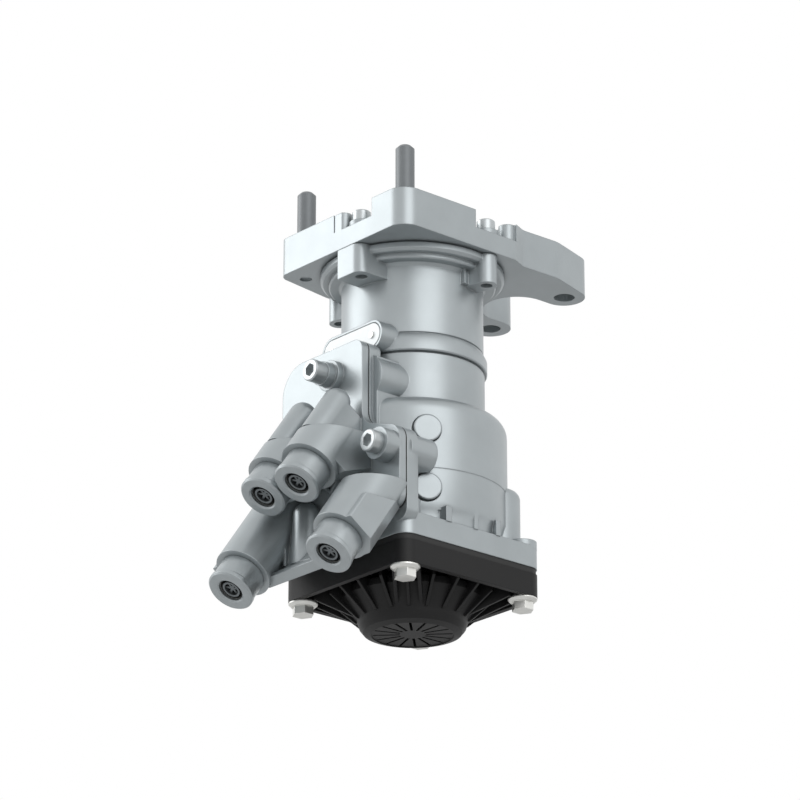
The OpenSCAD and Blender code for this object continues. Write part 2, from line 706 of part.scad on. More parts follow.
// The manifold with its plate, barrels and web
module manifold() {
  back = manifold_back_x;
  gallery = back - 1.8;
  upper_cross_z = -98;
  color(cast_colour) difference() {
    union() {
      along_x(manifold_face_x, back) pad_outline(flange_top - 0.6);
      pocket_frame();
      translate([0, top_screw_y, -top_screw_z]) rotate([0, -90, 0]) {
        translate([0, 0, -manifold_face_x - 1]) cylinder(h = 4, r = 6.6);
        translate([0, 0, -manifold_face_x]) cylinder(h = top_boss_h, r = top_boss_r);
      }
      for (s = [-1, 1]) translate([0, s * low_screw_y, -low_screw_z]) rotate([0, -90, 0])
        translate([0, 0, -manifold_face_x - 1]) cylinder(h = low_boss_h + 1, r = low_boss_r);
      intersection() {
        union() {
          barrels();
          lower_web();
          web_column();
        }
        translate([-120 + back, -60, -190]) cube([120, 120, 140]);
      }
    }
    for (i = [0:3]) at_port(i) {
      translate([0, 0, -5]) cylinder(h = socket_depth + 7, r = nut_r - 1.4);
      cylinder(h = i < 2 ? 43 : 42, r = drilling_r, $fn = 36);
    }
    // Drillings and galleries to the housing
    for (i = [0:1]) along_x(-48, back + 1) translate([PORTS[i][0], upper_cross_z]) circle(drilling_r, $fn = 36);
    for (i = [2:3]) along_x(-52, back + 1) translate([PORTS[i][0], DRILLINGS[2][1]])
      circle(drilling_r, $fn = 36);
    translate([gallery, DRILLINGS[0][0] - 3, upper_cross_z - 2]) cube([3, 6, 15]);
    translate([gallery, DRILLINGS[1][0] - 3, upper_cross_z - 2]) cube([3, 6, 32.5]);
    translate([gallery, DRILLINGS[2][0] - 3, DRILLINGS[2][1] - 3]) cube([3, 19, 6]);
    translate([gallery, -33, DRILLINGS[2][1] - 3]) cube([3, 16, 6]);
    translate([gallery, DRILLINGS[3][0] - 3.1, DRILLINGS[2][1] - 2.9]) cube([3, 6.2, 18]);
    at_manifold_screws() cylinder(h = 60, r = manifold_screw_r + 0.4);
  }
}

module manifold_screws() {
  top_seat = -manifold_face_x + top_boss_h;
  low_seat = -manifold_face_x + low_boss_h;
  color(steel_colour) {
    translate([0, top_screw_y, -top_screw_z]) rotate([0, -90, 0]) translate([0, 0, top_seat])
      cap_screw(manifold_screw_r, top_seat - pad_x + 9, screw_head_r, 6, 2.9);
    for (s = [-1, 1]) translate([0, s * low_screw_y, -low_screw_z]) rotate([0, -90, 0])
      translate([0, 0, low_seat]) cap_screw(manifold_screw_r, low_seat - pad_x + 9, screw_head_r, 5, 2.9);
  }
}

// Depths inside a connector, measured from its face
sleeve_r = tube_r - tube_wall;
socket_depth = 24;
module port_nut(i) {
  color(cast_colour) at_port(i) difference() {
    union() {
      rotate_extrude() polygon([[tube_r + 0.3, 0.6], [tube_r + 1, 0], [nut_r - 0.7, 0], [nut_r, 0.7], [nut_r, 2.4],
        [nut_r - 0.4, 2.8], [nut_r - 0.4, nut_h - 0.1], [tube_r + 0.3, nut_h - 0.1]]);
      translate([0, 0, nut_h - 0.2]) cylinder(h = 10, r = nut_r - 1.4 - fit_gap / 2);
    }
    translate([0, 0, -1]) cylinder(h = 40, r = tube_r + 0.15);
    translate([0, 0, 1.5]) cylinder(h = 9, r = tube_r + 1.6);
    translate([0, 0, 14]) cylinder(h = 3.4, r = tube_r + 1.8);
  }
}

module port_grip_ring(i) {
  color(brass_colour) at_port(i) difference() {
    ring(1.6, 10.4, tube_r + 1.5, tube_r + 0.1);
    for (a = [0:60:120]) rotate([0, 0, a]) translate([-20, -0.4, 5]) cube([40, 0.8, 10]);
  }
}

module port_seal(i) {
  color(rubber_colour) at_port(i) o_ring(15.7, tube_r + 0.95, 0.75);
}

// Support sleeve that goes inside the tube, with a cross at its mouth
module port_sleeve(i) {
  color(cast_colour) at_port(i) {
    ring(1.2, socket_depth, sleeve_r - 0.1, sleeve_r - 1);
    ring(socket_depth, socket_depth + 1.95, nut_r - 1.4 - fit_gap, sleeve_r - 1);
    for (a = [0:60:120]) rotate([0, 0, a]) translate([-sleeve_r + 0.9, -0.5, 2.2])
      cube([2 * sleeve_r - 1.8, 1, 3]);
  }
}

// Disc and sleeve that guide the plunger
module guide_disc() {
  color(zinc_colour) difference() {
    union() {
      ring(guide_bottom + 0.05, guide_top, upper_r - 3 - fit_gap, shank_r + 0.08);
      ring(guide_sleeve_end, guide_bottom + 1, 13.5, shank_r + 0.08);
    }
  }
}

module plunger() {
  color(steel_colour) {
    translate([0, 0, plunger_flange_bottom]) cylinder(h = 1 - plunger_flange_bottom, r = shank_r);
    cylinder(h = plunger_h - 1, r = plunger_r);
    translate([0, 0, plunger_h - 1]) cylinder(h = 1, r1 = plunger_r, r2 = plunger_r - 1);
    translate([0, 0, plunger_flange_bottom]) cylinder(h = plunger_flange_top - plunger_flange_bottom, r = plunger_flange_r);
    translate([0, 0, plunger_flange_bottom - 1.5]) cylinder(h = 2, r = 8);
  }
}

// Folded rubber boot between the guide disc and the plunger
module plunger_boot() {
  base = guide_top + 0.05;
  top = -1;
  wall = 1.2;
  folds = 4;
  pitch = (top - 2 - base - 2) / folds;
  color(rubber_colour) rotate_extrude() polygon(concat(
    [[16, base], [21.5, base], [21.5, base + 2]],
    [for (i = [0:folds - 1]) each [
      [17.5 - i * 1.1, base + 2 + i * pitch + 0.2],
      [18.5 - i * 1.1, base + 2 + (i + 0.5) * pitch + 0.3]]],
    [[13, top - 2], [13, top], [shank_r + 0.1, top], [shank_r + 0.1, top - 2.4], [11.6, top - 2.6]],
    [for (i = [folds - 1:-1:0]) each [
      [18.5 - wall - i * 1.1, base + 2 + (i + 0.5) * pitch - 0.2],
      [17.5 - wall - i * 1.1, base + 2 + i * pitch - 0.3]]],
    [[16, base + 1.2]]));
}

module graduating_spring() {
  color(steel_colour) coil_spring(piston_seat + spring_play, plunger_flange_bottom - spring_play, graduating_spring_r, 1.5, 3.6);
}

module primary_piston() {
  r = primary_bore_r - run_gap;
  color(zinc_colour) difference() {
    union() {
      translate([0, 0, piston_bottom]) cylinder(h = piston_top - piston_bottom, r = r);
      translate([0, 0, stem_bottom]) cylinder(h = piston_bottom - stem_bottom + 1, r = seat_r - 2);
    }
    translate([0, 0, piston_seat]) cylinder(h = 10, r = 15);
    for (z = PISTON_RINGS) translate([0, 0, z - o_ring_r - 0.1]) difference() {
      cylinder(h = 2 * o_ring_r + 0.2, r = r + 1);
      translate([0, 0, -1]) cylinder(h = 6, r = r - 2.5);
    }
    translate([0, 0, stem_bottom - 1]) cylinder(h = piston_bottom - stem_bottom + 1, r = 3.5);
    translate([0, -1.5, piston_bottom - 4]) cube([20, 3, 3]);
  }
}

module primary_piston_o_rings() {
  mean = primary_bore_r - 0.1 - o_ring_r;
  color(rubber_colour) for (z = PISTON_RINGS) o_ring(z, mean, o_ring_r);
}

module primary_return_spring() {
  color(steel_colour) coil_spring(-deck_top + spring_play, piston_bottom - spring_play, primary_spring_r, 0.8, 1.6);
}

// Double seat valve: rubber faced disc on a hollow stem
module poppet(top, disc_r, stem_end) {
  difference() {
    union() {
      translate([0, 0, top - valve_disc_t]) cylinder(h = valve_disc_t, r = disc_r);
      translate([0, 0, stem_end]) cylinder(h = top - stem_end - 1, r = valve_tube_r);
    }
    translate([0, 0, stem_end - 1]) cylinder(h = top - stem_end + 2, r = 3.6);
  }
}

module primary_valve() {
  color(rubber_colour) poppet(valve_top, valve_disc_r, relay_top + 2.5);
}

module primary_valve_spring() {
  color(steel_colour) coil_spring(valve_guide_top + spring_play, valve_top - valve_disc_t - spring_play, valve_spring_r, 0.6, 2.5);
}

// Disc that guides a valve's stem and carries its spring
module valve_guide(top, r) {
  difference() {
    union() {
      ring(top - valve_guide_t, top, r, valve_tube_r + 0.08);
    }
    for (a = [30:60:330]) rotate([0, 0, a]) translate([r * 0.72, 0, top - valve_guide_t - 1])
      cylinder(h = valve_guide_t + 2, r = 1.8, $fn = 24);
  }
}

module primary_valve_guide() {
  color(black_colour) valve_guide(valve_guide_top, valve_bore_r - fit_gap);
}

// Retaining ring with a gap
module circlip(z, r_out, r_in) {
  difference() {
    ring(z - circlip_t, z, r_out, r_in);
    translate([r_in - 3, -2.5, z - circlip_t - 1]) cube([r_out - r_in + 6, 5, circlip_t + 2]);
  }
}

module primary_circlip() {
  color(steel_colour) circlip(valve_guide_top - valve_guide_t, valve_bore_r + 1, valve_bore_r - 2);
}

module relay_piston() {
  r = relay_bore_r - run_gap;
  z = relay_top - relay_h;
  color(zinc_colour) difference() {
    union() {
      translate([0, 0, z]) cylinder(h = relay_h, r = r);
      translate([0, 0, relay_stem_bottom]) cylinder(h = z - relay_stem_bottom + 1, r = insert_seat_r - 2.5);
    }
    translate([0, 0, z - 1]) difference() {
      cylinder(h = relay_h - relay_crown_t + 1, r = r - 4);
      cylinder(h = relay_h - relay_crown_t + 1, r = insert_seat_r - 2.5);
    }
    translate([0, 0, z + relay_h / 2 - o_ring_r - 0.1]) difference() {
      cylinder(h = 2 * o_ring_r + 0.2, r = r + 1);
      translate([0, 0, -1]) cylinder(h = 6, r = r - 2.5);
    }
    translate([0, 0, relay_top - 3]) cylinder(h = 5, r = valve_tube_r + 1.7);
    translate([0, 0, relay_stem_bottom - 1]) cylinder(h = relay_top - relay_stem_bottom + 3, r = 3.6);
  }
}

module relay_piston_o_ring() {
  color(rubber_colour) o_ring(relay_top - relay_h / 2, relay_bore_r - 0.1 - o_ring_r, o_ring_r);
}

module relay_return_spring() {
  color(steel_colour) coil_spring(insert_top + spring_play, relay_top - relay_crown_t - spring_play, relay_spring_r, 1.1, 3.4);
}

// Insert that closes the relay bore and carries the secondary valve
module secondary_insert() {
  r = relay_bore_r - fit_gap;
  color(cast_colour) difference() {
    translate([0, 0, insert_bottom]) cylinder(h = insert_top - insert_bottom, r = r);
    translate([0, 0, insert_top - insert_deck_t - 1]) cylinder(h = insert_deck_t + 2, r = insert_seat_r);
    translate([0, 0, insert_bottom - 1]) cylinder(h = insert_top - insert_deck_t - insert_bottom + 1, r = valve_bore_r);
    translate([0, 0, guide_2_top - valve_guide_t - circlip_t - fit_gap])
      cylinder(h = circlip_t + 2 * fit_gap, r = valve_bore_r + 1.2);
    for (z = INSERT_RINGS) translate([0, 0, z - o_ring_r - 0.1]) difference() {
      cylinder(h = 2 * o_ring_r + 0.2, r = r + 1);
      translate([0, 0, -1]) cylinder(h = 6, r = r - 2.7);
    }
    along_x(-40, -2) translate(DRILLINGS[2]) circle(drilling_r, $fn = 36);
  }
}

module insert_o_rings() {
  mean = relay_bore_r - 0.02 - o_ring_r;
  color(rubber_colour) for (z = INSERT_RINGS) o_ring(z, mean, o_ring_r);
}

module secondary_valve() {
  color(rubber_colour) poppet(valve_2_top, insert_seat_r + 3, insert_bottom + 0.5);
}

module secondary_valve_spring() {
  color(steel_colour) coil_spring(guide_2_top + spring_play, valve_2_top - valve_disc_t - spring_play, valve_spring_r, 0.6, 2);
}

module secondary_valve_guide() {
  color(black_colour) valve_guide(guide_2_top, valve_bore_r - fit_gap);
}

module secondary_circlip() {
  color(steel_colour) circlip(guide_2_top - valve_guide_t, valve_bore_r + 1, valve_bore_r - 2);
}

// Heights of the exhaust cover
gasket_bottom = -flange_bottom - cover_gasket_t;
cover_wall = 2.5;
module cover_gasket() {
  color(rubber_colour) translate([0, 0, gasket_bottom]) difference() {
    linear_extrude(cover_gasket_t) rounded_square(flange_half - 0.3, flange_corner_r);
    translate([0, 0, -1]) cylinder(h = cover_gasket_t + 2, r = relay_bore_r - 4);
    translate([0, 0, -1]) at_bolts() cylinder(h = cover_gasket_t + 2, r = bolt_r + 0.3);
  }
}

// Outside of the cone and cap, with a round edge on the cap
module cone_profile(inset) {
  polygon([[0, -cap_z + inset], [cap_r - 5 - inset / 2, -cap_z + inset], [cap_r - 1.6 - inset, -cap_z + 1 + inset],
    [cap_r - inset, -cap_z + 3 + inset / 2], [cap_r + 1 - inset, -cap_z + 6], [cone_r - inset - 5.5, -cover_rim_z - 1],
    [cone_r - inset - 5.5, -cover_rim_z + 2], [0, -cover_rim_z + 2]]);
}

module exhaust_cover() {
  color(black_colour) difference() {
    union() {
      translate([0, 0, -cover_rim_z]) linear_extrude(gasket_bottom + cover_rim_z) difference() {
        rounded_square(flange_half, flange_corner_r);
        rounded_square(flange_half - cover_wall, flange_corner_r - 1.5);
      }
      translate([0, 0, gasket_bottom - 4]) linear_extrude(4) rounded_square(flange_half, flange_corner_r);
      at_bolts() translate([0, 0, -cover_rim_z]) cylinder(h = gasket_bottom + cover_rim_z, r = bolt_boss_r);
      difference() {
        rotate_extrude() cone_profile(0);
        translate([0, 0, -cap_z - 1]) cylinder(h = 2.2, r = cap_r - 5);
      }
      translate([0, 0, -cap_z + 0.4]) cylinder(h = 3, r = cap_r - 4.5);
      for (i = [0:rib_count - 1]) rotate([0, 0, 360 * (i + 0.5) / rib_count]) rotate([90, 0, 0])
        translate([0, 0, -0.6]) linear_extrude(1.2) polygon([
          [cap_r - 2, -cap_z + 5], [cap_r + 1.6, -cap_z + 5.5], [cone_r, -cover_rim_z + 0.4],
          [cone_r, -cover_rim_z + 6], [cap_r - 2, -cover_rim_z + 2]]);
      for (a = [45:90:315]) rotate([0, 0, a]) for (s = [-1, 1]) rotate([90, 0, 0])
        translate([0, 0, s * 5 - 0.7]) linear_extrude(1.4) polygon([
          [cap_r, -cap_z + 6], [bolt_offset * sqrt(2) - 4.8, -cover_rim_z],
          [bolt_offset * sqrt(2) - 4.8, -cover_rim_z + 5], [cap_r, -cover_rim_z + 2]]);
    }
    rotate_extrude() polygon([[0, -cap_z + 3.4], [cap_r - 3, -cap_z + 3.4], [cap_r - 1.5, -cap_z + 6],
      [cone_r - 8, -cover_rim_z - 1], [cone_r - 8, 0], [0, 0]]);
    for (i = [0:slot_count - 1]) rotate([0, 0, 360 * i / slot_count])
      translate([5.4, -0.55, -cap_z - 1]) cube([cap_r - 11, 1.1, 8]);
    translate([0, 0, -cover_rim_z - 1]) at_bolts() cylinder(h = 20, r = bolt_r + 0.3);
  }
}

// Hex flange bolt, with its seat at z = 0 and its head below
module flange_bolt(length) {
  rotate_extrude() polygon([[0, 0], [6.1, 0], [6.1, -0.6], [4.9, -1.7], [0, -1.7]]);
  translate([0, 0, -5.2]) cylinder(h = 4, r = 4.6, $fn = 6);
  cylinder(h = length, r = bolt_r);
}

module cover_bolts() {
  color(zinc_colour) translate([0, 0, -cover_rim_z]) at_bolts() flange_bolt(cover_rim_z - flange_bottom + 8);
}

// Rubber disc that closes the exhaust, held at its middle by a stud
module exhaust_flap() {
  color(rubber_colour) {
    translate([0, 0, gasket_bottom - 2]) cylinder(h = 1.2, r = 15);
    translate([0, 0, -cap_z + 3.4]) cylinder(h = cap_z - 3.4 + gasket_bottom - 1, r = 2.4);
  }
}

module silencer_mat() {
  color([0.25, 0.25, 0.25]) ring(-cap_z + 3.5, -cover_rim_z - 2, cap_r - 3.2, 2.6);
}

mounting_plate();
mounting_studs();
plate_screws();
valve_housing();
core_plugs();
data_plate();
data_plate_pins();
manifold_gasket();
manifold();
manifold_screws();
port_nut(0);  // port_1_nut
port_nut(1);  // port_2_nut
port_nut(2);  // port_3_nut
port_nut(3);  // port_4_nut
port_grip_ring(0);  // port_1_grip_ring
port_grip_ring(1);  // port_2_grip_ring
port_grip_ring(2);  // port_3_grip_ring
port_grip_ring(3);  // port_4_grip_ring
port_sleeve(0);  // port_1_sleeve
port_sleeve(1);  // port_2_sleeve
port_sleeve(2);  // port_3_sleeve
port_sleeve(3);  // port_4_sleeve
port_seal(0);  // port_1_seal
port_seal(1);  // port_2_seal
port_seal(2);  // port_3_seal
port_seal(3);  // port_4_seal
guide_disc();
plunger();
plunger_boot();
graduating_spring();
primary_piston();
primary_piston_o_rings();
primary_return_spring();
primary_valve();
primary_valve_spring();
primary_valve_guide();
primary_circlip();
relay_piston();
relay_piston_o_ring();
relay_return_spring();
secondary_insert();
insert_o_rings();
secondary_valve();
secondary_valve_spring();
secondary_valve_guide();
secondary_circlip();
cover_gasket();
exhaust_cover();
cover_bolts();
exhaust_flap();
silencer_mat();
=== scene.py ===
"""Foot brake valve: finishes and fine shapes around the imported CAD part."""

import math

import bpy
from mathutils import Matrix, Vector


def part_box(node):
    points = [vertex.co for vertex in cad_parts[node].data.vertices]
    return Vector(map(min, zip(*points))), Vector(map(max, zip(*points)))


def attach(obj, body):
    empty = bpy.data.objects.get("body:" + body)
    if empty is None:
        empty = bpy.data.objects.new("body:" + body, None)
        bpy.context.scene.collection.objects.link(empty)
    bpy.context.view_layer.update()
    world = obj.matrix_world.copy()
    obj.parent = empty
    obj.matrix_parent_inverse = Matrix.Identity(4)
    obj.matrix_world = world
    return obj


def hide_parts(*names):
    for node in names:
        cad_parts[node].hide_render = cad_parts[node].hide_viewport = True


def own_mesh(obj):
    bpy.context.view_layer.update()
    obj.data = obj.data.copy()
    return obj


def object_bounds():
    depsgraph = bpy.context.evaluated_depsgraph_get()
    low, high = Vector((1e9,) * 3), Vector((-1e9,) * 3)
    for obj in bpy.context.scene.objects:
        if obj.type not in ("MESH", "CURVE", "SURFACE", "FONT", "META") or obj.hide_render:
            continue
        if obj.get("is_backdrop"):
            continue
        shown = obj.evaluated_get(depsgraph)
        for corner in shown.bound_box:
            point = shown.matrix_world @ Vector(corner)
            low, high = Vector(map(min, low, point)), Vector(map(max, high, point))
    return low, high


bl_info = {
    "name": "Foot brake valve",
    "version": (1, 0, 0),
    "blender": (4, 5, 0),
    "location": "3D View > Sidebar > Foot brake valve",
    "description": "Dresses a packed foot brake valve: castings, screws, ports, rubber and plastic pieces",
    "category": "Object",
}

MM = 0.001
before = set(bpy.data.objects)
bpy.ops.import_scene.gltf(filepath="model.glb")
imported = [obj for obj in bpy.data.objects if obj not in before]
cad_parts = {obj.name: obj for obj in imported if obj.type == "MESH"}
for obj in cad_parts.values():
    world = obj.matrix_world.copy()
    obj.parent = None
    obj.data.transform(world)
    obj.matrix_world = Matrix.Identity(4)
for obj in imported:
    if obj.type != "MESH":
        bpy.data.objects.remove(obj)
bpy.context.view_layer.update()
BODY = "valve_body"

CASTINGS = ("mounting_plate", "valve_housing", "manifold", "core_plugs")
PORT_NUMBERS = (1, 2, 3, 4)

# Finishes: noise scales per metre, depths and reaches in metres, limits of a ramp from 0 to 1,
# and the share of the colour that is left in inner corners, where painted shade darkens it
EDGE_SAMPLES = 6
NOISE_MEAN = 0.5
CLOUD_LIMITS = (0.3, 0.7)
CAST_MOTTLE_SCALE = 90.0
CAST_GRAIN_SCALE = 2600.0
CAST_GRAIN_DEPTH = 0.00003
CAST_CORNER_REACH = 0.0025
CAST_CORNER_LIMITS = (0.3, 0.9)
CAST_PAINTED_SHADE = 0.55
METAL_CLOUD_SCALE = 260.0
METAL_STREAK_SCALE = 1900.0
METAL_STREAK_DEPTH = 0.00002
PLASTIC_CLOUD_SCALE = 60.0
PLASTIC_GRAIN_SCALE = 3200.0
PLASTIC_GRAIN_DEPTH = 0.00003
PLASTIC_CORNER_REACH = 0.006
PLASTIC_CORNER_LIMITS = (0.35, 0.9)
PLASTIC_PAINTED_SHADE = 0.15

# Meshes: sides of a spring's wire, its steps to a turn, the flat share of its end turns,
# the angle below which faces look smooth, and the distance below which points are joined
WIRE_SIDES = 12
TURN_STEPS = 28
FLAT_TURN = 0.75
SMOOTH_ANGLE = math.radians(30.0)
JOIN_DISTANCE = 0.000002

# Springs: CAD node, body it stands on, joint that presses it, travel in mm, wire radius in mm, turns
SPRINGS = (
    ("graduating_spring", "primary_piston_body", "plunger_slide", 7.5, 1.5, 5.1),
    ("primary_return_spring", BODY, "primary_piston_slide", 2.5, 0.8, 3.1),
    ("primary_valve_spring", BODY, "primary_valve_slide", 1.0, 0.6, 4.0),
    ("relay_return_spring", BODY, "relay_piston_slide", 2.5, 1.1, 4.9),
    ("secondary_valve_spring", BODY, "secondary_valve_slide", 1.0, 0.6, 3.5),
)


# ---------------------------------------------------------------- settings
class CastingSettings(bpy.types.PropertyGroup):
    """Finish of the aluminium castings."""

    colour: bpy.props.FloatVectorProperty(
        name="Colour", description="Colour of the bare castings", subtype="COLOR", size=3,
        min=0, max=1, default=(0.395, 0.43, 0.444))
    roughness: bpy.props.FloatProperty(
        name="Roughness", description="How matt the castings are", min=0, max=1, default=0.38)
    metallic: bpy.props.FloatProperty(
        name="Metallic", description="Share of the castings' metal shine", min=0, max=1, default=0.68)
    edge: bpy.props.FloatProperty(
        name="Edge radius", description="Radius at which the castings' edges are rounded",
        unit="LENGTH", min=0, max=0.002, default=0.0006)


class SteelSettings(bpy.types.PropertyGroup):
    """Finish of studs, screws and springs."""

    stud_colour: bpy.props.FloatVectorProperty(
        name="Studs", description="Colour of the studs", subtype="COLOR", size=3,
        min=0, max=1, default=(0.20, 0.215, 0.225))
    zinc_colour: bpy.props.FloatVectorProperty(
        name="Zinc", description="Colour of zinc plated screws and bolts", subtype="COLOR", size=3,
        min=0, max=1, default=(0.80, 0.80, 0.77))


class PlasticSettings(bpy.types.PropertyGroup):
    """Finish of the exhaust cover and the rubber pieces."""

    cover_colour: bpy.props.FloatVectorProperty(
        name="Cover", description="Colour of the exhaust cover", subtype="COLOR", size=3,
        min=0, max=1, default=(0.0105, 0.0105, 0.0108))
    rubber_colour: bpy.props.FloatVectorProperty(
        name="Rubber", description="Colour of gaskets, seals and boot", subtype="COLOR", size=3,
        min=0, max=1, default=(0.018, 0.018, 0.018))
    core_colour: bpy.props.FloatVectorProperty(
        name="Tube sleeves", description="Colour of the support sleeves in the ports", subtype="COLOR",
        size=3, min=0, max=1, default=(0.16, 0.18, 0.19))


class StageSettings(bpy.types.PropertyGroup):
    """Light and camera."""

    key: bpy.props.FloatProperty(
        name="Key light", description="Strength of the light from the side", min=0, default=1.0)
    fill: bpy.props.FloatProperty(
        name="Fill light", description="Strength of the front light", min=0, default=1.0)
    world: bpy.props.FloatProperty(
        name="Surroundings", description="Strength of the even light from all round", min=0, default=0.44)
    lens: bpy.props.FloatProperty(
        name="Lens", description="Focal length of the camera", unit="CAMERA", min=10, default=181.4)


SETTINGS = (
    ("valve_casting", CastingSettings),
    ("valve_steel", SteelSettings),
    ("valve_plastic", PlasticSettings),
    ("valve_stage", StageSettings),
)


# ---------------------------------------------------------------- shader maths
class Shade:
    """A node socket on which sums are written as plain expressions."""

    def __init__(self, nodes, socket):
        self.nodes = nodes
        self.socket = socket

    def _math(self, operation, first, second):
        return self.nodes.add("ShaderNodeMath", {"operation": operation}, {0: first, 1: second})

    def __add__(self, other):
        return self._math("ADD", self, other)

    def __radd__(self, other):
        return self._math("ADD", other, self)

    def __sub__(self, other):
        return self._math("SUBTRACT", self, other)

    def __rsub__(self, other):
        return self._math("SUBTRACT", other, self)

    def __mul__(self, other):
        return self._math("MULTIPLY", self, other)

    def __rmul__(self, other):
        return self._math("MULTIPLY", other, self)


class Finish:
    """A material made of a Principled shader and the nodes that feed it."""

    def __init__(self, name, colour, roughness, metallic=0.0, **constants):
        self.material = bpy.data.materials.new(name)
        self.material.use_nodes = True
        self.tree = self.material.node_tree
        self.shader = self.tree.nodes["Principled BSDF"]
        self.colour = tuple(colour)
        self.set("Base Color", (*self.colour, 1.0))
        self.set("Roughness", roughness)
        self.set("Metallic", metallic)
        for socket, value in constants.items():
            self.set(socket.replace("_", " "), value)
        self.material.diffuse_color = (*self.colour, 1.0)

    def set(self, socket, value):
        if isinstance(value, Shade):
            self.tree.links.new(value.socket, self.shader.inputs[socket])
        else:
            self.shader.inputs[socket].default_value = value

    def add(self, kind, settings=None, inputs=None, output=0):
        """Adds a node: its settings first, then the values or links of its sockets."""
        node = self.tree.nodes.new(kind)
        for key, value in (settings or {}).items():
            setattr(node, key, value)
        for key, value in (inputs or {}).items():
            if isinstance(value, Shade):
                self.tree.links.new(value.socket, node.inputs[key])
            else:
                node.inputs[key].default_value = value
        return Shade(self, node.outputs[output])

    def place(self):
        return self.add("ShaderNodeTexCoord", output="Object")

    def noise(self, scale, detail):
        return self.add("ShaderNodeTexNoise", None,
                        {"Vector": self.place(), "Scale": scale, "Detail": detail, "Roughness": 0.5},
                        output="Fac")

    def ramp(self, value, limits):
        """0 at the lower limit and below, 1 at the upper limit and above."""
        return self.add("ShaderNodeMapRange", None,
                        {"Value": value, "From Min": limits[0], "From Max": limits[1]}, output="Result")

    def mix(self, factor, first, second):
        node = self.add("ShaderNodeMix", {"data_type": "RGBA"}, {0: factor}, output=2)
        mixer = node.socket.node
        for socket, colour in ((6, first), (7, second)):
            if isinstance(colour, Shade):
                self.tree.links.new(colour.socket, mixer.inputs[socket])
            else:
                mixer.inputs[socket].default_value = (*colour, 1.0)
        return node

    def bump(self, height, distance, strength, normal):
        return self.add("ShaderNodeBump", None,
                        {"Height": height, "Distance": distance, "Strength": strength, "Normal": normal},
                        output="Normal")

    def corners(self, reach):
        """1 on open faces, falling to 0 in tight inner corners."""
        return self.add("ShaderNodeAmbientOcclusion", {"samples": EDGE_SAMPLES, "only_local": False},
                        {"Distance": reach}, output="AO")

    def round_edges(self, radius):
        return self.add("ShaderNodeBevel", {"samples": EDGE_SAMPLES}, {"Radius": radius}, output="Normal")


def tint(colour, factor):
    return tuple(min(1.0, part * factor) for part in colour)


def casting_finish(name, settings):
    """Blasted aluminium casting: fine grain, faint mottling, and painted shade darkening the inner corners.
    """
    colour = tuple(settings.colour)
    finish = Finish(name, colour, settings.roughness, metallic=settings.metallic)
    mottle = finish.noise(CAST_MOTTLE_SCALE, 4.0)
    grain = finish.noise(CAST_GRAIN_SCALE, 2.0)
    skin = finish.mix(finish.ramp(mottle, CLOUD_LIMITS), tint(colour, 0.965), tint(colour, 1.03))
    # Painted shade: ambient occlusion darkens the colour in inner corners and recesses, where shade falls
    unshaded = finish.ramp(finish.corners(CAST_CORNER_REACH), CAST_CORNER_LIMITS)
    finish.set("Base Color", finish.mix(unshaded, tint(colour, CAST_PAINTED_SHADE), skin))
    finish.set("Roughness", settings.roughness + (grain - NOISE_MEAN) * 0.12)
    finish.set("Normal", finish.bump(grain, CAST_GRAIN_DEPTH, 0.35, finish.round_edges(settings.edge)))
    return finish.material


def metal_finish(name, colour, roughness, metallic, edge=0.0003):
    """Turned or plated metal: rounded edges and a faint machining streak."""
    finish = Finish(name, colour, roughness, metallic=metallic)
    cloud = finish.noise(METAL_CLOUD_SCALE, 3.0)
    skin = finish.mix(finish.ramp(cloud, CLOUD_LIMITS), tint(colour, 0.95), tint(colour, 1.04))
    finish.set("Base Color", skin)
    finish.set("Roughness", roughness + (cloud - NOISE_MEAN) * 0.14)
    streak = finish.noise(METAL_STREAK_SCALE, 2.0)
    finish.set("Normal", finish.bump(streak, METAL_STREAK_DEPTH, 0.3, finish.round_edges(edge)))
    return finish.material


def plastic_finish(name, colour, roughness, edge=0.0004, **constants):
    """Moulded plastic with a fine spark-eroded grain, and painted shade darkening it between ribs and in
    slots.
    """
    finish = Finish(name, colour, roughness, **constants)
    grain = finish.noise(PLASTIC_GRAIN_SCALE, 2.0)
    cloud = finish.noise(PLASTIC_CLOUD_SCALE, 3.0)
    skin = finish.mix(finish.ramp(cloud, CLOUD_LIMITS), tint(colour, 0.9), tint(colour, 1.12))
    # Painted shade: ambient occlusion darkens the colour between ribs and in slots, where shade falls
    unshaded = finish.ramp(finish.corners(PLASTIC_CORNER_REACH), PLASTIC_CORNER_LIMITS)
    finish.set("Base Color", finish.mix(unshaded, tint(colour, PLASTIC_PAINTED_SHADE), skin))
    finish.set("Roughness", roughness + (grain - NOISE_MEAN) * 0.16)
    finish.set("Normal", finish.bump(grain, PLASTIC_GRAIN_DEPTH, 0.4, finish.round_edges(edge)))
    return finish.material


def dress(material, *names):
    """Gives CAD nodes or pieces a material."""
    for name in names:
        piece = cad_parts.get(name) or bpy.data.objects[name]
        piece.data.materials.clear()
        piece.data.materials.append(material)


def smooth_sides(*names):
    """Shades CAD nodes' faces that meet at a small angle as one smooth surface, by modifiers."""
    for name in names:
        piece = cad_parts[name]
        for face in piece.data.polygons:
            face.use_smooth = True
        weld = piece.modifiers.new("Join", "WELD")
        weld.merge_threshold = JOIN_DISTANCE
        split = piece.modifiers.new("Sharp edges", "EDGE_SPLIT")
        split.split_angle = SMOOTH_ANGLE


# ---------------------------------------------------------------- shapes
def piece_from(name, points, faces, material, body, *nodes):
    """Makes a mesh piece that rides on a body and stands for CAD nodes."""
    mesh = bpy.data.meshes.new(name)
    mesh.from_pydata(points, [], faces)
    for face in mesh.polygons:
        face.use_smooth = True
    mesh.materials.append(material)
    piece = bpy.data.objects.new(name, mesh)
    bpy.context.scene.collection.objects.link(piece)
    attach(piece, body)
    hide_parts(*nodes)
    return piece


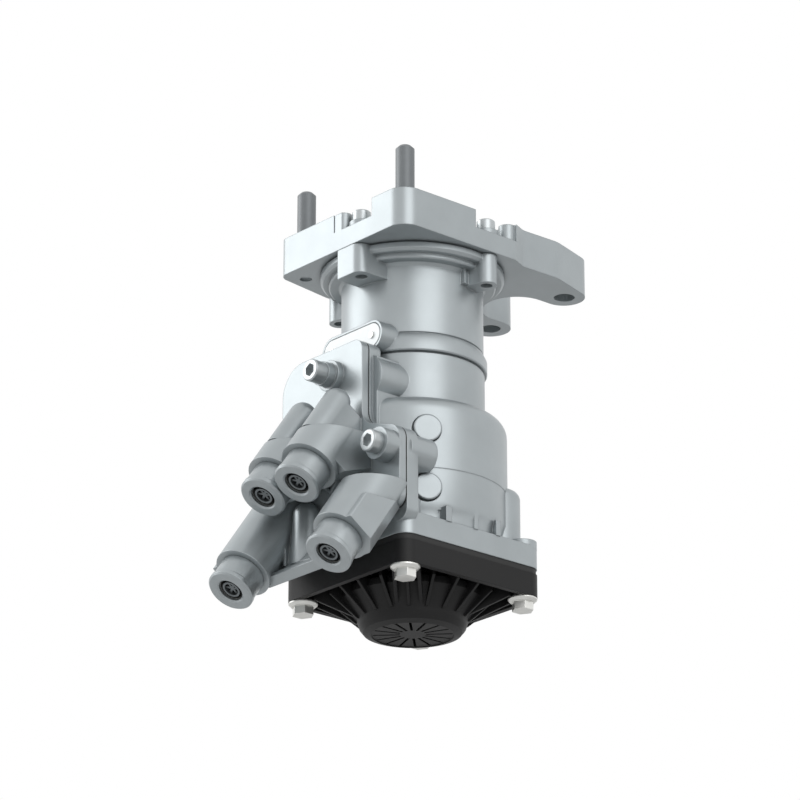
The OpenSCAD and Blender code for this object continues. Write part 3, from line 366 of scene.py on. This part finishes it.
def tube_faces(rings, sides):
    """Side faces and end caps of a tube whose points come ring by ring."""
    faces = [(ring * sides + side, ring * sides + (side + 1) % sides,
              (ring + 1) * sides + (side + 1) % sides, (ring + 1) * sides + side)
             for ring in range(rings - 1) for side in range(sides)]
    last = (rings - 1) * sides
    return faces + [tuple(reversed(range(sides))), tuple(range(last, last + sides))]


def coil(low, high, mean_r, wire_r, turns):
    """Points and faces of a compression spring whose end turns lie flat."""
    rings = int(turns * TURN_STEPS) + 1
    points = []
    for ring in range(rings):
        turn = ring / TURN_STEPS
        share = min(1.0, max(0.0, (turn - FLAT_TURN) / (turns - 2 * FLAT_TURN)))
        height = low + wire_r + (high - low - 2 * wire_r) * share
        for side in range(WIRE_SIDES):
            angle = math.tau * side / WIRE_SIDES
            reach = mean_r + wire_r * math.cos(angle)
            points.append((reach * math.cos(math.tau * turn), reach * math.sin(math.tau * turn),
                           height + wire_r * math.sin(angle)))
    return points, tube_faces(rings, WIRE_SIDES)


def lathe(outline, sides=96):
    """Points and faces of a closed outline (radius, height) turned about the axis."""
    points = [(radius * math.cos(math.tau * step / sides), radius * math.sin(math.tau * step / sides), height)
              for step in range(sides) for radius, height in outline]
    count = len(outline)
    faces = [(step * count + place, (step + 1) % sides * count + place,
              (step + 1) % sides * count + (place + 1) % count, step * count + (place + 1) % count)
             for step in range(sides) for place in range(count)]
    return points, faces


def boot_outline(low, high, foot_r, neck_r):
    """Outline of a folded boot with a flat foot, four soft folds and a collar round the shank, in mm."""
    wall, folds, steps = 1.1, 4, 10
    foot_t, collar_t = 2.0, 2.4
    wide, narrow = foot_r - 4.0, neck_r + 4.0
    outside, inside = [], []
    for step in range(folds * steps + 1):
        share = step / (folds * steps)
        wave = 0.9 * math.sin(math.tau * folds * share - math.pi / 2)
        radius = wide + (narrow - wide) * share + wave
        height = low + foot_t + (high - collar_t - low - foot_t) * share
        outside.append((radius, height))
        inside.append((radius - wall, height - 0.35))
    return ([(foot_r - 5.6, low), (foot_r - 0.3, low), (foot_r, low + 0.3), (foot_r, low + foot_t - 0.4),
             (foot_r - 0.4, low + foot_t)]
            + outside
            + [(narrow - 0.6, high - 0.5), (narrow - 1.1, high), (neck_r + 0.5, high), (neck_r, high - 0.4),
               (neck_r, high - collar_t)]
            + inside[::-1])


# ---------------------------------------------------------------- operators
class VALVE_OT_castings(bpy.types.Operator):
    """Gives the castings and core plugs their blasted finish with rounded edges"""

    bl_idname = "valve.castings"
    bl_label = "Castings"

    def execute(self, context):
        settings = context.scene.valve_casting
        material = casting_finish("cast aluminium", settings)
        dress(material, *CASTINGS)
        smooth_sides(*CASTINGS)
        return {"FINISHED"}


class VALVE_OT_screws(bpy.types.Operator):
    """Finishes studs, screws, bolts and pins"""

    bl_idname = "valve.screws"
    bl_label = "Studs and screws"

    def execute(self, context):
        settings = context.scene.valve_steel
        dark = metal_finish("stud steel", settings.stud_colour, 0.45, 0.3)
        zinc = metal_finish("zinc plate", settings.zinc_colour, 0.34, 0.75)
        screw = metal_finish("screw steel", (0.50, 0.53, 0.54), 0.34, 0.75)
        dress(dark, "mounting_studs")
        dress(zinc, "cover_bolts", "data_plate_pins")
        dress(screw, "plate_screws", "manifold_screws")
        smooth_sides("mounting_studs", "cover_bolts", "data_plate_pins", "plate_screws", "manifold_screws")
        return {"FINISHED"}


class VALVE_OT_ports(bpy.types.Operator):
    """Finishes the push-in port connectors"""

    bl_idname = "valve.ports"
    bl_label = "Port connectors"

    def execute(self, context):
        casting = context.scene.valve_casting
        plastic = context.scene.valve_plastic
        nut = metal_finish("port nut", tint(casting.colour, 0.98), 0.34, casting.metallic, 0.00025)
        brass = metal_finish("grip ring brass", (0.16, 0.165, 0.16), 0.4, 0.5)
        core = plastic_finish("tube sleeve", plastic.core_colour, 0.5)
        seal = plastic_finish("port seal", plastic.rubber_colour, 0.6)
        for number in PORT_NUMBERS:
            names = [f"port_{number}_{kind}" for kind in ("nut", "grip_ring", "sleeve", "seal")]
            for name, material in zip(names, (nut, brass, core, seal)):
                dress(material, name)
                smooth_sides(name)
        return {"FINISHED"}


class VALVE_OT_cover(bpy.types.Operator):
    """Finishes the exhaust cover, its gasket, flap and silencer"""

    bl_idname = "valve.cover"
    bl_label = "Exhaust cover"

    def execute(self, context):
        settings = context.scene.valve_plastic
        cover = plastic_finish("cover plastic", settings.cover_colour, 0.5, IOR=1.36)
        rubber = plastic_finish("gasket rubber", settings.rubber_colour, 0.6)
        felt = plastic_finish("silencer felt", (0.12, 0.12, 0.12), 0.9)
        dress(cover, "exhaust_cover", "guide_disc", "primary_valve_guide", "secondary_valve_guide")
        dress(rubber, "cover_gasket", "manifold_gasket", "exhaust_flap", "primary_piston_o_rings",
              "relay_piston_o_ring", "insert_o_rings", "primary_valve", "secondary_valve")
        dress(felt, "silencer_mat")
        smooth_sides("exhaust_cover", "cover_gasket", "exhaust_flap", "guide_disc", "manifold_gasket")
        return {"FINISHED"}


class VALVE_OT_inside(bpy.types.Operator):
    """Finishes the pieces inside the valve"""

    bl_idname = "valve.inside"
    bl_label = "Inner pieces"

    def execute(self, context):
        steel = context.scene.valve_steel
        casting = context.scene.valve_casting
        turned = metal_finish("turned aluminium", casting.colour, 0.3, 0.7)
        steel_dark = metal_finish("circlip steel", (0.16, 0.16, 0.165), 0.4, 0.8)
        rod = metal_finish("plunger steel", steel.zinc_colour, 0.3, 0.7)
        plate = metal_finish("bare data plate", (0.80, 0.83, 0.84), 0.4, 0.2)
        dress(turned, "primary_piston", "relay_piston", "secondary_insert")
        dress(plate, "data_plate")
        dress(steel_dark, "primary_circlip", "secondary_circlip")
        dress(rod, "plunger")
        smooth_sides("plunger", "data_plate", "primary_piston", "relay_piston", "secondary_insert",
                     "primary_valve", "secondary_valve", "primary_valve_guide", "secondary_valve_guide")
        return {"FINISHED"}


class VALVE_OT_springs(bpy.types.Operator):
    """Winds the springs from round wire, each riding on the body it stands on"""

    bl_idname = "valve.springs"
    bl_label = "Springs"

    def execute(self, context):
        wire = metal_finish("spring wire", (0.30, 0.31, 0.32), 0.35, 0.8, 0.0001)
        for node, body, joint, travel, wire_r, turns in SPRINGS:
            low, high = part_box(node)
            radius = (high.x - low.x) / 2 - wire_r * MM
            points, faces = coil(low.z, high.z, radius, wire_r * MM, turns)
            spring = piece_from(node + "_wire", points, faces, wire, body, node)
            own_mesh(spring)
        return {"FINISHED"}


class VALVE_OT_boot(bpy.types.Operator):
    """Moulds the folded rubber boot round the plunger"""

    bl_idname = "valve.boot"
    bl_label = "Plunger boot"

    STROKE = 10.0
    NECK_R = 8.6

    def execute(self, context):
        low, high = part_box("plunger_boot")
        foot_r = (high.x - low.x) / 2 / MM
        outline = boot_outline(low.z / MM, high.z / MM, foot_r, self.NECK_R)
        points, faces = lathe([(radius * MM, height * MM) for radius, height in outline])
        rubber = plastic_finish("boot rubber", context.scene.valve_plastic.rubber_colour, 0.55, 0.0002)
        boot = piece_from("boot_rubber", points, faces, rubber, BODY, "plunger_boot")
        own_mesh(boot)
        return {"FINISHED"}


class VALVE_OT_stage(bpy.types.Operator):
    """Builds the floor, the lights and the camera"""

    bl_idname = "valve.stage"
    bl_label = "Stage"

    FLOOR_DROP = 0.25
    FLOOR_SIZE = 6.0
    LAMP_TARGET = (0, 0, -0.07)
    SIDE_PLACE, SIDE_SIZE, SIDE_ENERGY = (-0.92, 1.08, 0.66), 1.25, 9.5
    FRONT_PLACE, FRONT_SIZE, FRONT_ENERGY = (-0.36, -1.31, 0.45), 1.2, 5.6
    CAMERA_PLACE = (-1.0406, -1.1862, -0.6812)
    AZIMUTH = math.radians(-41.07)
    ELEVATION = math.radians(-21.08)
    SENSOR_WIDTH = 36.0
    CLIP = (0.05, 20.0)

    def lamp(self, name, place, size, energy):
        data = bpy.data.lights.new(name, "AREA")
        data.shape = "DISK"
        data.size = size
        data.energy = energy
        lamp = bpy.data.objects.new(name, data)
        bpy.context.scene.collection.objects.link(lamp)
        lamp.location = place
        lamp.rotation_mode = "QUATERNION"
        lamp.rotation_quaternion = (Vector(self.LAMP_TARGET) - Vector(place)).to_track_quat("-Z", "Y")
        lamp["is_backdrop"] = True

    def add_floor(self, context):
        """Adds a pale floor that throws light up but isn't seen."""
        low, _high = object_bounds()
        bpy.ops.mesh.primitive_plane_add(size=self.FLOOR_SIZE, location=(0, 0, low.z - self.FLOOR_DROP))
        floor = context.object
        floor.name = "floor"
        floor.visible_camera = False
        paper = Finish("floor paper", (0.9, 0.9, 0.9), 0.9)
        floor.data.materials.append(paper.material)
        floor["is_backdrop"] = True

    def add_world(self, scene):
        """Lights all round softly, and shows white to the camera and in reflections."""
        world = bpy.data.worlds.new("studio")
        scene.world = world
        world.use_nodes = True
        nodes = world.node_tree.nodes
        links = world.node_tree.links
        light = nodes["Background"]
        white = nodes.new("ShaderNodeBackground")
        for background, strength in ((light, scene.valve_stage.world), (white, 1.0)):
            background.inputs["Strength"].default_value = strength
            background.inputs["Color"].default_value = (1, 1, 1, 1)
        ray = nodes.new("ShaderNodeLightPath")
        seen = nodes.new("ShaderNodeMath")
        seen.operation = "MAXIMUM"
        links.new(ray.outputs["Is Camera Ray"], seen.inputs[0])
        links.new(ray.outputs["Is Transmission Ray"], seen.inputs[1])
        either = nodes.new("ShaderNodeMath")
        either.operation = "MAXIMUM"
        links.new(seen.outputs[0], either.inputs[0])
        links.new(ray.outputs["Is Glossy Ray"], either.inputs[1])
        mixer = nodes.new("ShaderNodeMixShader")
        links.new(either.outputs[0], mixer.inputs[0])
        links.new(light.outputs[0], mixer.inputs[1])
        links.new(white.outputs[0], mixer.inputs[2])
        links.new(mixer.outputs[0], nodes["World Output"].inputs[0])

    def add_camera(self, scene):
        data = bpy.data.cameras.new("camera")
        data.sensor_width = self.SENSOR_WIDTH
        data.lens = scene.valve_stage.lens
        data.clip_start, data.clip_end = self.CLIP
        camera = bpy.data.objects.new("camera", data)
        scene.collection.objects.link(camera)
        camera.location = self.CAMERA_PLACE
        ahead = Vector((-math.sin(self.AZIMUTH) * math.cos(self.ELEVATION),
                        math.cos(self.AZIMUTH) * math.cos(self.ELEVATION),
                        -math.sin(self.ELEVATION)))
        camera.rotation_mode = "QUATERNION"
        camera.rotation_quaternion = ahead.to_track_quat("-Z", "Y")
        scene.camera = camera

    def execute(self, context):
        scene = context.scene
        settings = scene.valve_stage
        self.add_floor(context)
        self.lamp("side", self.SIDE_PLACE, self.SIDE_SIZE, self.SIDE_ENERGY * settings.key)
        self.lamp("front", self.FRONT_PLACE, self.FRONT_SIZE, self.FRONT_ENERGY * settings.fill)
        self.add_world(scene)
        self.add_camera(scene)
        scene.view_settings.view_transform = "Standard"
        return {"FINISHED"}


class VALVE_PT_panel(bpy.types.Panel):
    """Lists the steps that dress the valve"""

    bl_idname = "VALVE_PT_panel"
    bl_label = "Foot brake valve"
    bl_space_type = "VIEW_3D"
    bl_region_type = "UI"
    bl_category = "Foot brake valve"

    def draw(self, context):
        for name, group in SETTINGS:
            box = self.layout.box()
            for key in group.__annotations__:
                box.prop(getattr(context.scene, name), key)
        for step in STEPS:
            self.layout.operator(step.bl_idname)


STEPS = (VALVE_OT_castings, VALVE_OT_screws, VALVE_OT_ports, VALVE_OT_cover,
         VALVE_OT_inside, VALVE_OT_springs, VALVE_OT_boot, VALVE_OT_stage)
CLASSES = (*[group for _name, group in SETTINGS], *STEPS, VALVE_PT_panel)


def register():
    for item in CLASSES:
        bpy.utils.register_class(item)
    for name, group in SETTINGS:
        setattr(bpy.types.Scene, name, bpy.props.PointerProperty(type=group))


def unregister():
    for name, _group in SETTINGS:
        delattr(bpy.types.Scene, name)
    for item in reversed(CLASSES):
        bpy.utils.unregister_class(item)


def main():
    register()
    bpy.ops.valve.castings()
    bpy.ops.valve.screws()
    bpy.ops.valve.ports()
    bpy.ops.valve.cover()
    bpy.ops.valve.inside()
    bpy.ops.valve.springs()
    bpy.ops.valve.boot()
    bpy.ops.valve.stage()


if __name__ == "__main__":
    main()
